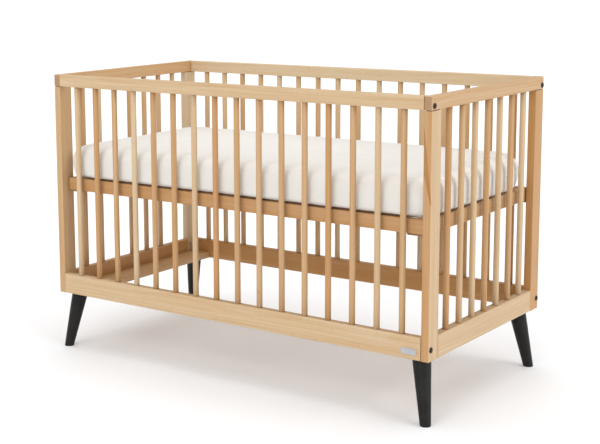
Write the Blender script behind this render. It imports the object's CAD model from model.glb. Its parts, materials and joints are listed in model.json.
"""Looks of a baby crib: beech panels and bars, a slatted base, a covered mattress, black legs.

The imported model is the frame. Every visible piece here stands for one or more of its nodes, takes
its place from their boxes and rides on their body.
"""

import json
import logging
import math
import random
from collections.abc import Iterable, Sequence
from dataclasses import dataclass
from enum import Enum, IntEnum

import bmesh
import bpy
from mathutils import Euler, Matrix, Vector, noise


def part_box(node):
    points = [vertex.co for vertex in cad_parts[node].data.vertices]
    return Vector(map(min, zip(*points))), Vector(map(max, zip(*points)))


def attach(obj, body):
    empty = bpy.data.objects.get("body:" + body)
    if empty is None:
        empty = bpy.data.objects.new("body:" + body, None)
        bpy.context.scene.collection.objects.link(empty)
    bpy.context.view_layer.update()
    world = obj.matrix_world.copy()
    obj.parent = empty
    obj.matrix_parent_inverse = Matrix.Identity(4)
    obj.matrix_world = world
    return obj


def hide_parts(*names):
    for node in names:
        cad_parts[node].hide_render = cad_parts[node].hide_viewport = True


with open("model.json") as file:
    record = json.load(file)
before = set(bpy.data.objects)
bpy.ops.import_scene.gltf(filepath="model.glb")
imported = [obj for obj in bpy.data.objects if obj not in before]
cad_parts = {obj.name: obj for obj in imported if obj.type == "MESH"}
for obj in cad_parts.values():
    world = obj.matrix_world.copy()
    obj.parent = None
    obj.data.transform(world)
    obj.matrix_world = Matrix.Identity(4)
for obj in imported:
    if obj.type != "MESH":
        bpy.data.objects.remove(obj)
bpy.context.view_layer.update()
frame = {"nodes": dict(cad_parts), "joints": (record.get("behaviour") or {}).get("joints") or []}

log = logging.getLogger("crib")

FRAME_BODY = "crib_frame"
BASE_BODY = "mattress_base"
MATTRESS_BODY = "mattress_body"
ENDS = {"left": -1, "right": 1}
SIDES = ("front", "back")
EASED = 0.0006
FIT = 0.0003


class Axis(IntEnum):
    """A direction of the crib: along its length, across it, or up."""

    X = 0
    Y = 1
    Z = 2


class Tone(Enum):
    """How a stick of beech looks beside its neighbours: (lightness, redness), each -1 to 1."""

    PALE = (0.85, -0.55)
    LIGHT = (0.40, -0.20)
    PINK = (0.15, 0.25)
    PLAIN = (0.0, 0.0)
    HONEY = (-0.30, 0.05)
    AMBER = (-0.60, 0.30)
    RUSSET = (-0.75, 0.75)
    TEAK = (-1.0, 0.15)


# --------------------------------------------------------------------------------------------------
# Node graphs


class Graph:
    """A node tree that is built up node by node."""

    def __init__(self, tree: bpy.types.NodeTree) -> None:
        """Keeps the tree and starts with no nodes in it."""
        self.tree = tree
        tree.nodes.clear()

    def node(self, kind: str, inputs: dict | None = None, **settings) -> bpy.types.Node:
        """Adds a node.

        Args:
            kind: the node's type, such as ShaderNodeTexNoise.
            inputs: socket name or number to a value, or to an output socket to link from.
            settings: the node's own properties.

        Returns:
            The node.
        """
        made = self.tree.nodes.new(kind)
        for name, value in settings.items():
            setattr(made, name, value)
        for name, value in (inputs or {}).items():
            self.feed(made.inputs[name], value)
        return made

    def feed(self, socket: bpy.types.NodeSocket, value) -> None:
        """Links an output socket to this one, or sets its value."""
        if isinstance(value, bpy.types.NodeSocket):
            self.tree.links.new(value, socket)
        else:
            socket.default_value = value

    def math(self, operation: str, *values, clamp: bool = False) -> bpy.types.NodeSocket:
        """A Math node's result on one to three values."""
        inputs = dict(enumerate(values))
        return self.node("ShaderNodeMath", inputs, operation=operation, use_clamp=clamp).outputs[0]

    def vector_math(self, operation: str, *values) -> bpy.types.NodeSocket:
        """A Vector Math node's vector result on one or two values."""
        made = self.node("ShaderNodeVectorMath", dict(enumerate(values)), operation=operation)
        return made.outputs[0]

    def attribute(self, name: str, part: str = "Vector") -> bpy.types.NodeSocket:
        """A stored attribute of the mesh, as a Vector, a Color or a factor (Fac)."""
        return self.node("ShaderNodeAttribute", attribute_name=name).outputs[part]

    def scaled(self, vector: bpy.types.NodeSocket, scale: Sequence[float]) -> bpy.types.NodeSocket:
        """The coordinates, stretched by a scale along each axis."""
        return self.vector_math("MULTIPLY", vector, tuple(scale))

    def noise(self, vector: bpy.types.NodeSocket, **inputs) -> bpy.types.NodeSocket:
        """A noise texture's factor, 0 to 1, its sockets named in lower case."""
        named = {name.title(): value for name, value in inputs.items()}
        return self.node("ShaderNodeTexNoise", {"Vector": vector, **named}).outputs[0]

    def ramp(self, value: bpy.types.NodeSocket, low: float, high: float, to_low: float = 0.0,
             to_high: float = 1.0, smooth: bool = True) -> bpy.types.NodeSocket:
        """Maps a value from one range to another, clamped, with a smooth or a straight slope."""
        kind = "SMOOTHSTEP" if smooth else "LINEAR"
        inputs = {"Value": value, "From Min": low, "From Max": high}
        inputs |= {"To Min": to_low, "To Max": to_high}
        return self.node("ShaderNodeMapRange", inputs, interpolation_type=kind).outputs[0]

    def mix(self, factor, first, second) -> bpy.types.NodeSocket:
        """Two colours mixed by a factor."""
        made = self.node("ShaderNodeMix", data_type="RGBA", clamp_factor=True)
        by_name = {"Factor_Float": factor, "A_Color": first, "B_Color": second}
        for socket in made.inputs:
            if socket.identifier in by_name:
                self.feed(socket, by_name[socket.identifier])
        return next(o for o in made.outputs if o.identifier == "Result_Color")


def new_material(name: str, **constants) -> tuple[bpy.types.Material, Graph, bpy.types.Node]:
    """A material with one Principled shader.

    Args:
        name: the material's name.
        constants: the shader's sockets, in lower case with underscores, and their values.

    Returns:
        The material, its graph and the shader node.
    """
    material = bpy.data.materials.new(name)
    material.use_nodes = True
    graph = Graph(material.node_tree)
    shader = graph.node("ShaderNodeBsdfPrincipled")
    for socket, value in constants.items():
        shader.inputs[socket.replace("_", " ").title().replace("Ior", "IOR")].default_value = value
    graph.node("ShaderNodeOutputMaterial", {"Surface": shader.outputs[0]})
    return material, graph, shader


# --------------------------------------------------------------------------------------------------
# Finishes


@dataclass(frozen=True)
class Knot:
    """A small tight knot in a stick.

    Attributes:
        at: its place in the crib.
        along: the stick's direction.
        radius: the dark heart's radius across the stick.
    """

    at: tuple[float, float, float]
    along: Axis
    radius: float


@dataclass(frozen=True)
class HeartwoodBand:
    """A band of darker heartwood that slants across the narrow face of one post.

    Two straight lines bound it on that face. Each is given by its height at the face's left edge
    and by how far it falls for each metre to the right.

    Attributes:
        left: the face's left edge.
        face: where the face lies across the crib.
        upper: the upper line's height and fall.
        lower: the lower line's height and fall.
        retreat: how fast the band narrows behind the face.
    """

    left: float
    face: float
    upper: tuple[float, float]
    lower: tuple[float, float]
    retreat: float = 0.45

    @classmethod
    def in_post(cls, low: Vector, high: Vector) -> "HeartwoodBand":
        """The band in the upper part of a post, on the face towards the front."""
        return cls(low.x, low.y, (high.z - 0.022, 9.0), (high.z - 0.146, 4.1))

    def depth(self, graph: "Graph") -> bpy.types.NodeSocket:
        """How far a point of the surface lies inside the band, in metres."""
        here = graph.node("ShaderNodeTexCoord").outputs["Object"]
        x, y, z = graph.node("ShaderNodeSeparateXYZ", {0: here}).outputs
        along = graph.math("SUBTRACT", x, self.left)
        upper = graph.math("MULTIPLY_ADD", along, -self.upper[1], self.upper[0])
        lower = graph.math("MULTIPLY_ADD", along, -self.lower[1], self.lower[0])
        below = graph.math("SUBTRACT", upper, z)
        above = graph.math("SUBTRACT", z, lower)
        below = graph.math("DIVIDE", below, math.hypot(1, self.upper[1]))
        above = graph.math("DIVIDE", above, math.hypot(1, self.lower[1]))
        behind = graph.math("MAXIMUM", graph.math("SUBTRACT", y, self.face), 0.0)
        inside = graph.math("MINIMUM", below, above)
        near_post = graph.math("GREATER_THAN", x, self.left - 0.002)
        inside = graph.math("SUBTRACT", inside, graph.math("MULTIPLY", behind, self.retreat))
        outside = graph.math("SUBTRACT", graph.math("MULTIPLY", near_post, 10.0), 10.0)
        return graph.math("ADD", inside, outside)


@dataclass(frozen=True)
class Beech:
    """Steamed beech under a satin varnish, with its grain running along each stick.

    The surface reads attributes that every stick stores: grain, a place inside the log with the
    first coordinate along the trunk; shift, which moves the stick to its own place in the log;
    tone, its lightness and redness; and end_grain, 1 on a sawn end.
    """

    pale: tuple = (0.610, 0.467, 0.297, 1)
    deep: tuple = (0.442, 0.216, 0.059, 1)
    red: tuple = (0.505, 0.261, 0.116, 1)
    heartwood: tuple = (0.335, 0.140, 0.030, 1)
    sawn_end: tuple = (0.420, 0.255, 0.140, 1)
    fleck: tuple = (0.270, 0.135, 0.060, 1)
    ring_width: float = 0.0042
    roughness: float = 0.46
    knots: tuple[Knot, ...] = ()
    band: HeartwoodBand | None = None

    def build(self) -> bpy.types.Material:
        """Makes the material."""
        material, graph, shader = new_material(
            "beech", specular_ior_level=0.3, coat_weight=0.05, coat_roughness=0.3
        )
        place = graph.vector_math("ADD", graph.attribute("grain"), graph.attribute("shift"))
        rings = self.rings(graph, place)
        fibre = graph.noise(graph.scaled(place, (5, 520, 520)), scale=1.0, detail=3.0)
        band = graph.noise(graph.scaled(place, (1.3, 75, 75)), scale=1.0, detail=2.0)
        colour = self.body_colour(graph, rings, fibre, band)
        flecks = self.flecks(graph, place)
        colour = graph.mix(graph.math("MULTIPLY", flecks, 0.55), colour, self.fleck)
        if self.band is not None:
            colour = self.with_heartwood(graph, colour, place)
        colour = self.with_sawn_ends(graph, colour, place)
        for knot in self.knots:
            colour = self.with_knot(graph, colour, knot)
        graph.feed(shader.inputs["Base Color"], colour)
        rough = graph.ramp(fibre, 0.3, 0.75, self.roughness - 0.05, self.roughness + 0.08)
        graph.feed(shader.inputs["Roughness"], rough)
        self.add_bump(graph, shader, place, flecks)
        return material

    def rings(self, graph: Graph, place: bpy.types.NodeSocket) -> bpy.types.NodeSocket:
        """Growth rings: 0 in early wood, rising to 1 at each ring's dense late edge."""
        wander = graph.noise(graph.scaled(place, (0.9, 9, 9)), scale=1.0, detail=2.0)
        across = graph.scaled(place, (0, 1, 1))
        radius = graph.node("ShaderNodeVectorMath", {0: across}, operation="LENGTH").outputs["Value"]
        radius = graph.math("MULTIPLY_ADD", wander, 0.035, radius)
        phase = graph.math("FRACT", graph.math("DIVIDE", radius, self.ring_width))
        rise = graph.ramp(phase, 0.25, 0.93)
        fall = graph.ramp(phase, 0.95, 1.0, 1.0, 0.0)
        return graph.math("MULTIPLY", rise, fall)

    def body_colour(self, graph: Graph, rings, fibre, band) -> bpy.types.NodeSocket:
        """Beech between pale and deep by the stick's tone, its rings and its fibres."""
        tone = graph.node("ShaderNodeSeparateXYZ", {0: graph.attribute("tone")}).outputs
        depth = graph.math("MULTIPLY_ADD", tone[0], -0.50, 0.42)
        depth = graph.math("MULTIPLY_ADD", rings, 0.13, depth)
        depth = graph.math("ADD", depth, graph.ramp(band, 0.3, 0.7, -0.11, 0.11))
        depth = graph.math("ADD", depth, graph.ramp(fibre, 0.25, 0.75, -0.15, 0.15), clamp=True)
        colour = graph.mix(depth, self.pale, self.deep)
        redness = graph.math("MULTIPLY_ADD", tone[1], 0.55, 0.12, clamp=True)
        return graph.mix(redness, colour, self.red)

    def flecks(self, graph: Graph, place: bpy.types.NodeSocket) -> bpy.types.NodeSocket:
        """The short dark dashes of beech's rays, 1 on a dash."""
        dashes = graph.noise(graph.scaled(place, (160, 1500, 1500)), scale=1.0, detail=1.0)
        patches = graph.noise(graph.scaled(place, (8, 60, 60)), scale=1.0, detail=1.0)
        return graph.math("MULTIPLY", graph.ramp(dashes, 0.62, 0.72), graph.ramp(patches, 0.35, 0.65))

    def with_heartwood(self, graph: Graph, colour, place) -> bpy.types.NodeSocket:
        """A band of heartwood, darkest along its sharp and slightly wandering edge."""
        wander = graph.noise(graph.scaled(place, (6, 40, 40)), scale=1.0, detail=2.0)
        off_middle = graph.math("SUBTRACT", wander, 0.5)
        depth = graph.math("MULTIPLY_ADD", off_middle, 0.003, self.band.depth(graph))
        edge = graph.ramp(depth, 0.0, 0.0008)
        amount = graph.math("MULTIPLY", edge, graph.ramp(depth, 0.0005, 0.005, 0.95, 0.6))
        return graph.mix(amount, colour, self.heartwood)

    def with_sawn_ends(self, graph: Graph, colour, place) -> bpy.types.NodeSocket:
        """Darker, greyer wood with open pores where the stick is cut across."""
        pores = graph.noise(graph.scaled(place, (300, 2600, 2600)), scale=1.0, detail=2.0)
        sawn = graph.mix(graph.ramp(pores, 0.35, 0.7, 0.0, 0.6), self.sawn_end, self.fleck)
        return graph.mix(graph.attribute("end_grain", "Fac"), colour, sawn)

    def with_knot(self, graph: Graph, colour, knot: Knot) -> bpy.types.NodeSocket:
        """A dark heart with a soft ring, longer along the stick than across it."""
        here = graph.node("ShaderNodeTexCoord").outputs["Object"]
        squeeze = [0.45 if axis == knot.along else 1.0 for axis in Axis]
        away = graph.scaled(graph.vector_math("SUBTRACT", here, knot.at), squeeze)
        distance = graph.node("ShaderNodeVectorMath", {0: away}, operation="LENGTH").outputs["Value"]
        heart = graph.ramp(distance, 0.5 * knot.radius, 1.2 * knot.radius, 0.85, 0.0)
        halo = graph.ramp(distance, knot.radius, 4 * knot.radius, 0.35, 0.0)
        return graph.mix(heart, graph.mix(halo, colour, self.deep), self.fleck)

    def add_bump(self, graph: Graph, shader, place, flecks) -> None:
        """Brushed fibres and sunken flecks, a few hundredths of a millimetre deep."""
        fibres = graph.noise(graph.scaled(place, (25, 1700, 1700)), scale=1.0, detail=2.0)
        height = graph.math("SUBTRACT", graph.math("MULTIPLY", fibres, 0.5), flecks)
        bump = {"Height": height, "Strength": 0.35, "Distance": 0.00012}
        graph.feed(shader.inputs["Normal"], graph.node("ShaderNodeBump", bump).outputs[0])


@dataclass(frozen=True)
class BlackLacquer:
    """Satin black paint over turned wood, with a faint orange-peel and worn-in dust."""

    colour: tuple = (0.0060, 0.0058, 0.0052, 1)
    dusty: tuple = (0.0125, 0.0120, 0.0108, 1)
    roughness: float = 0.46

    def build(self) -> bpy.types.Material:
        """Makes the material."""
        material, graph, shader = new_material("black_lacquer", ior=1.45, specular_ior_level=0.28)
        here = graph.node("ShaderNodeTexCoord").outputs["Object"]
        clouds = graph.noise(here, scale=28.0, detail=3.0)
        colour = graph.mix(graph.ramp(clouds, 0.35, 0.75), self.colour, self.dusty)
        graph.feed(shader.inputs["Base Color"], colour)
        rough = graph.ramp(clouds, 0.3, 0.7, self.roughness - 0.04, self.roughness + 0.06)
        graph.feed(shader.inputs["Roughness"], rough)
        grain = graph.noise(graph.scaled(here, (260, 260, 22)), scale=1.0, detail=2.0)
        peel = graph.math("ADD", grain, graph.noise(here, scale=700.0, detail=1.0))
        bump = {"Height": peel, "Strength": 0.25, "Distance": 0.0002}
        graph.feed(shader.inputs["Normal"], graph.node("ShaderNodeBump", bump).outputs[0])
        return material


@dataclass(frozen=True)
class Metal:
    """A metal with fine marks from its making.

    Attributes:
        name: the material's name.
        colour: the bright metal or its coating.
        worn: the colour of rubbed or darker places.
        metallic: 1 for bare metal, less for a painted one.
        roughness: the middle roughness.
        brush: how much finer the marks are across the brushing than along it; 1 for none.
    """

    name: str
    colour: tuple
    worn: tuple
    metallic: float
    roughness: float
    brush: float = 1.0

    def build(self) -> bpy.types.Material:
        """Makes the material."""
        material, graph, shader = new_material(self.name, metallic=self.metallic)
        here = graph.node("ShaderNodeTexCoord").outputs["Object"]
        marks = graph.noise(graph.scaled(here, (300, 300, 300 * self.brush)), scale=1.0, detail=3.0)
        colour = graph.mix(graph.ramp(marks, 0.4, 0.75, 0.0, 0.6), self.colour, self.worn)
        graph.feed(shader.inputs["Base Color"], colour)
        rough = graph.ramp(marks, 0.3, 0.7, self.roughness - 0.07, self.roughness + 0.09)
        graph.feed(shader.inputs["Roughness"], rough)
        bump = {"Height": marks, "Strength": 0.2, "Distance": 0.00005}
        graph.feed(shader.inputs["Normal"], graph.node("ShaderNodeBump", bump).outputs[0])
        return material


@dataclass(frozen=True)
class CottonCover:
    """Off-white cotton: a fine plain weave, slubs, and a dark binding round its lower rim.

    The threads follow the UV map that the mattress stores, in metres. The binding reads inside, how
    far in from the walls a point is, which the mattress stores too.

    Attributes:
        colour: the cloth.
        slub: its thicker threads.
        binding: the narrow dark binding.
        bottom: the height of the mattress's underside.
        binding_height: how far the binding shows up the walls.
        binding_depth: how far it goes in under the mattress.
        thread: the width of a thread.
    """

    bottom: float

    colour: tuple = (0.755, 0.742, 0.705, 1)
    slub: tuple = (0.705, 0.685, 0.635, 1)
    binding: tuple = (0.170, 0.082, 0.034, 1)
    binding_height: float = 0.0048
    binding_depth: float = 0.014
    thread: float = 0.00075

    def build(self) -> bpy.types.Material:
        """Makes the material."""
        material, graph, shader = new_material(
            "cotton_cover", sheen_weight=0.25, sheen_roughness=0.5, specular_ior_level=0.25
        )
        cloth = graph.node("ShaderNodeUVMap", uv_map="cloth").outputs[0]
        slubs = graph.noise(graph.scaled(cloth, (120, 1400, 1)), scale=1.0, detail=2.0)
        ends = graph.noise(graph.scaled(cloth, (1400, 120, 1)), scale=1.0, detail=2.0)
        clouds = graph.noise(graph.scaled(cloth, (14, 14, 1)), scale=1.0, detail=2.0)
        amount = graph.ramp(slubs, 0.45, 0.8, 0.0, 0.5)
        amount = graph.math("ADD", amount, graph.ramp(ends, 0.45, 0.8, 0.0, 0.5))
        amount = graph.math("ADD", amount, graph.ramp(clouds, 0.3, 0.75, 0.0, 0.35), clamp=True)
        cotton = graph.mix(amount, self.colour, self.slub)
        graph.feed(shader.inputs["Base Color"], graph.mix(self.bound(graph), cotton, self.binding))
        rough = graph.ramp(clouds, 0.3, 0.7, 0.86, 0.95)
        graph.feed(shader.inputs["Roughness"], rough)
        weave = self.weave(graph, cloth)
        height = graph.math("MULTIPLY_ADD", slubs, 0.6, weave)
        bump = {"Height": height, "Strength": 0.4, "Distance": 0.00015}
        graph.feed(shader.inputs["Normal"], graph.node("ShaderNodeBump", bump).outputs[0])
        return material

    def bound(self, graph: Graph) -> bpy.types.NodeSocket:
        """1 on the binding, with a slightly wavy upper edge, and 0 on the cotton."""
        here = graph.node("ShaderNodeTexCoord").outputs["Object"]
        height = graph.node("ShaderNodeSeparateXYZ", {0: here}).outputs[2]
        wave = graph.noise(graph.scaled(here, (22, 22, 0)), scale=1.0, detail=2.0)
        height = graph.math("MULTIPLY_ADD", wave, 0.004, height)
        top = self.bottom + self.binding_height + 0.002
        low = graph.ramp(height, top, top + 0.0012, 1.0, 0.0)
        inside = graph.attribute("inside", "Fac")
        rim = graph.ramp(inside, self.binding_depth, self.binding_depth + 0.004, 1.0, 0.0)
        return graph.math("MULTIPLY", low, rim)

    def weave(self, graph: Graph, cloth: bpy.types.NodeSocket) -> bpy.types.NodeSocket:
        """A plain weave's height: the product of two waves, one along each set of threads."""
        turns = 2 * math.pi / (2 * self.thread)
        parts = graph.node("ShaderNodeSeparateXYZ", {0: graph.scaled(cloth, (turns, turns, 1))}).outputs
        return graph.math("MULTIPLY", graph.math("SINE", parts[0]), graph.math("SINE", parts[1]))


@dataclass(frozen=True)
class PaleFloor:
    """A seamless pale studio floor with hardly any texture."""

    colour: tuple = (0.91, 0.92, 0.935, 1)

    def build(self) -> bpy.types.Material:
        """Makes the material."""
        material, graph, shader = new_material("pale_floor", roughness=0.75, specular_ior_level=0.2)
        here = graph.node("ShaderNodeTexCoord").outputs["Object"]
        clouds = graph.noise(here, scale=3.0, detail=2.0)
        lighter = tuple(min(1.0, c * 1.02) for c in self.colour[:3]) + (1,)
        graph.feed(shader.inputs["Base Color"], graph.mix(clouds, self.colour, lighter))
        return material


@dataclass
class Finishes:
    """The materials that the pieces share."""

    beech: bpy.types.Material
    black_lacquer: bpy.types.Material
    black_steel: bpy.types.Material
    brown_steel: bpy.types.Material
    bright_steel: bpy.types.Material
    cover: bpy.types.Material


# --------------------------------------------------------------------------------------------------
# Making meshes


def node_box(node: str) -> tuple[Vector, Vector]:
    """A CAD node's lowest and highest corners."""
    low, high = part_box(node)
    return Vector(low), Vector(high)


def new_piece(
    name: str, bm: bmesh.types.BMesh, material: bpy.types.Material | None = None
) -> bpy.types.Object:
    """Makes an object at the origin from a bmesh whose points are already in place."""
    bmesh.ops.recalc_face_normals(bm, faces=bm.faces)
    mesh = bpy.data.meshes.new(name)
    bm.to_mesh(mesh)
    bm.free()
    piece = bpy.data.objects.new(name, mesh)
    bpy.context.scene.collection.objects.link(piece)
    if material is not None:
        mesh.materials.append(material)
    return piece


def bake_modifiers(piece: bpy.types.Object) -> None:
    """Replaces a piece's mesh by what its modifiers make, and removes them."""
    depsgraph = bpy.context.evaluated_depsgraph_get()
    depsgraph.update()
    made = bpy.data.meshes.new_from_object(piece.evaluated_get(depsgraph))
    piece.modifiers.clear()
    old = piece.data
    piece.data = made
    made.name = piece.name
    if isinstance(old, bpy.types.Mesh) and not old.users:
        bpy.data.meshes.remove(old)


def smooth(piece: bpy.types.Object, sharp_degrees: float = 35.0, weighted: bool = True) -> None:
    """Shades a piece smooth but for its sharp edges, with flat faces kept flat."""
    piece.data.shade_smooth()
    piece.data.set_sharp_from_angle(angle=math.radians(sharp_degrees))
    if weighted:
        modifier = piece.modifiers.new("flat faces stay flat", "WEIGHTED_NORMAL")
        modifier.keep_sharp = True
        modifier.weight = 80
        bake_modifiers(piece)


def rounded_box(
    low: Vector, high: Vector, along: Axis | None, radius: float, segments: int = 4
) -> bmesh.types.BMesh:
    """A box with rounded edges.

    Args:
        low: the lowest corner.
        high: the highest corner.
        along: only the edges along this axis are rounded, or every edge if it is None.
        radius: the rounding.
        segments: the facets of a quarter round.

    Returns:
        The new bmesh.
    """
    bm = bmesh.new()
    bmesh.ops.create_cube(bm, size=1.0)
    bmesh.ops.scale(bm, vec=high - low, verts=bm.verts)
    bmesh.ops.translate(bm, vec=(low + high) / 2, verts=bm.verts)
    edges = [
        edge for edge in bm.edges
        if along is None or abs((edge.verts[0].co - edge.verts[1].co)[along]) > 1e-6
    ]
    bmesh.ops.bevel(bm, geom=edges, offset=radius, segments=segments, profile=0.5, affect="EDGES")
    return bm


def ease_ends(bm: bmesh.types.BMesh, along: Axis, size: float) -> None:
    """Takes the sharpness off the rims of a board's two ends."""
    ends = [face for face in bm.faces if abs(face.normal[along]) > 0.99]
    rims = list({edge for face in ends for edge in face.edges})
    bmesh.ops.bevel(bm, geom=rims, offset=size, segments=2, profile=0.5, affect="EDGES")


def cut(piece: bpy.types.Object, tool: bpy.types.Object) -> None:
    """Cuts a tool's shape out of a piece. The tool stays."""
    modifier = piece.modifiers.new("cut", "BOOLEAN")
    modifier.operation = "DIFFERENCE"
    modifier.solver = "EXACT"
    modifier.object = tool
    bake_modifiers(piece)


def remove(*things: bpy.types.Object) -> None:
    """Removes guides and tools that aren't part of the crib."""
    for thing in things:
        mesh = thing.data
        bpy.data.objects.remove(thing, do_unlink=True)
        if isinstance(mesh, bpy.types.Mesh) and not mesh.users:
            bpy.data.meshes.remove(mesh)


def add_cylinder(
    bm: bmesh.types.BMesh, centre: Vector, radius: float, length: float, along: Axis, sides: int = 32
) -> None:
    """Adds a capped cylinder along an axis to a bmesh."""
    quarter = math.pi / 2
    turn = {Axis.X: Euler((0, quarter, 0)), Axis.Y: Euler((quarter, 0, 0)), Axis.Z: Euler()}[along]
    matrix = Matrix.Translation(centre) @ turn.to_matrix().to_4x4()
    bmesh.ops.create_cone(
        bm, cap_ends=True, segments=sides, radius1=radius, radius2=radius, depth=length, matrix=matrix
    )


def turned(profile: Sequence[tuple[float, float]], sides: int = 32) -> bmesh.types.BMesh:
    """A solid of revolution about Z.

    Args:
        profile: (radius, height) points from the axis at the top to the axis at the bottom.
        sides: the facets round the axis.

    Returns:
        The new bmesh.
    """
    bm = bmesh.new()
    verts = [bm.verts.new((radius, 0, height)) for radius, height in profile]
    edges = [bm.edges.new(pair) for pair in zip(verts, verts[1:])]
    bmesh.ops.spin(bm, geom=verts + edges, axis=(0, 0, 1), angle=2 * math.pi, steps=sides, use_merge=True)
    bmesh.ops.remove_doubles(bm, verts=bm.verts, dist=1e-6)
    return bm


def arc(
    centre: tuple[float, float], radius: float, start: float, end: float, steps: int
) -> list[tuple[float, float]]:
    """Points on an arc, angles in degrees from the first axis."""
    turns = [math.radians(start + (end - start) * i / steps) for i in range(steps + 1)]
    return [(centre[0] + radius * math.cos(t), centre[1] + radius * math.sin(t)) for t in turns]


def fade_between(value: float, start: float, end: float) -> float:
    """0 up to the start, 1 from the end on, and a smooth slope between them."""
    share = min(max((value - start) / (end - start), 0.0), 1.0)
    return share * share * (3 - 2 * share)


def store(piece: bpy.types.Object, name: str, kind: str, domain: str, values: Iterable) -> None:
    """Stores an attribute on a mesh.

    Args:
        piece: the object.
        name: the attribute's name.
        kind: FLOAT or FLOAT_VECTOR.
        domain: POINT or FACE.
        values: one number or vector for each element.
    """
    attribute = piece.data.attributes.get(name) or piece.data.attributes.new(name, kind, domain)
    if kind == "FLOAT":
        attribute.data.foreach_set("value", list(values))
    else:
        attribute.data.foreach_set("vector", [c for vector in values for c in vector])


@dataclass
class LogCutter:
    """Cuts each stick from its own place in the log, the same place on each run."""

    seed: int = 11
    nearest: float = 0.03
    farthest: float = 0.11

    def place(self, name: str) -> Vector:
        """A stick's place: how far along the trunk, and which way and how far from the heart."""
        draw = random.Random(f"{self.seed} {name}")
        angle = draw.uniform(0, 2 * math.pi)
        reach = draw.uniform(self.nearest, self.farthest)
        return Vector((draw.uniform(-5, 5), reach * math.cos(angle), reach * math.sin(angle)))

    def mark(self, piece: bpy.types.Object, along: Axis, tone: Tone, front: Tone) -> None:
        """Stores what the beech finish reads.

        Args:
            piece: a stick whose mesh is final.
            along: the direction of its grain.
            tone: how it looks beside its neighbours.
            front: the tone of its face towards the front, where the saw met darker wood.
        """
        middle = sum((Vector(corner) for corner in piece.bound_box), Vector()) / 8
        order = [along, (along + 1) % 3, (along + 2) % 3]
        verts = [vert.co - middle for vert in piece.data.vertices]
        store(piece, "grain", "FLOAT_VECTOR", "POINT", ([co[i] for i in order] for co in verts))
        store(piece, "shift", "FLOAT_VECTOR", "POINT", [self.place(piece.name)] * len(verts))
        near = min(co.y for co in verts) + 0.001
        tones = [(*(front if co.y < near else tone).value, 0) for co in verts]
        store(piece, "tone", "FLOAT_VECTOR", "POINT", tones)
        ends = (abs(face.normal[along]) ** 6 for face in piece.data.polygons)
        store(piece, "end_grain", "FLOAT", "FACE", ends)


@dataclass
class Joiner:
    """Makes sticks of beech and sends each piece to its body."""

    finishes: Finishes
    log_cutter: LogCutter
    made: int = 0

    def deliver(
        self, piece: bpy.types.Object, body: str, slot: str, nodes: Sequence[str]
    ) -> bpy.types.Object:
        """Sends a finished piece to its body, in place of its CAD nodes.

        Args:
            piece: the piece, in place.
            body: the body that it rides on.
            slot: the material slot that it takes its finish from.
            nodes: the CAD nodes that it stands for.

        Returns:
            The piece.
        """
        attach(piece, body)
        if nodes:
            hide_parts(*nodes)
        self.made += 1
        log.info("%s: %d faces on %s", piece.name, len(piece.data.polygons), body)
        return piece

    def board(
        self,
        name: str,
        low: Vector,
        high: Vector,
        along: Axis,
        tone: Tone,
        body: str,
        nodes: Sequence[str],
        radius: float = 0.0025,
        round_ends: bool = False,
        tools: Sequence[bpy.types.Object] = (),
        front: Tone | None = None,
    ) -> bpy.types.Object:
        """A planed board with rounded edges.

        Args:
            name: the piece's name.
            low: its lowest corner.
            high: its highest corner.
            along: its grain's direction.
            tone: its tone.
            body: the body that it rides on.
            nodes: the CAD nodes that it stands for.
            radius: the rounding of its edges.
            round_ends: whether its ends are rounded over too.
            tools: shapes that are cut out of it.
            front: the tone of its face towards the front, if that differs.

        Returns:
            The piece.
        """
        shape = rounded_box(low, high, None if round_ends else along, radius)
        if not round_ends:
            ease_ends(shape, along, EASED)
        piece = new_piece(name, shape)
        for tool in tools:
            cut(piece, tool)
        piece.data.materials.clear()
        piece.data.materials.append(self.finishes.beech)
        smooth(piece)
        self.log_cutter.mark(piece, along, tone, front or tone)
        return self.deliver(piece, body, "beech", nodes)


# --------------------------------------------------------------------------------------------------
# Geometry node trees for what repeats


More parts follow.
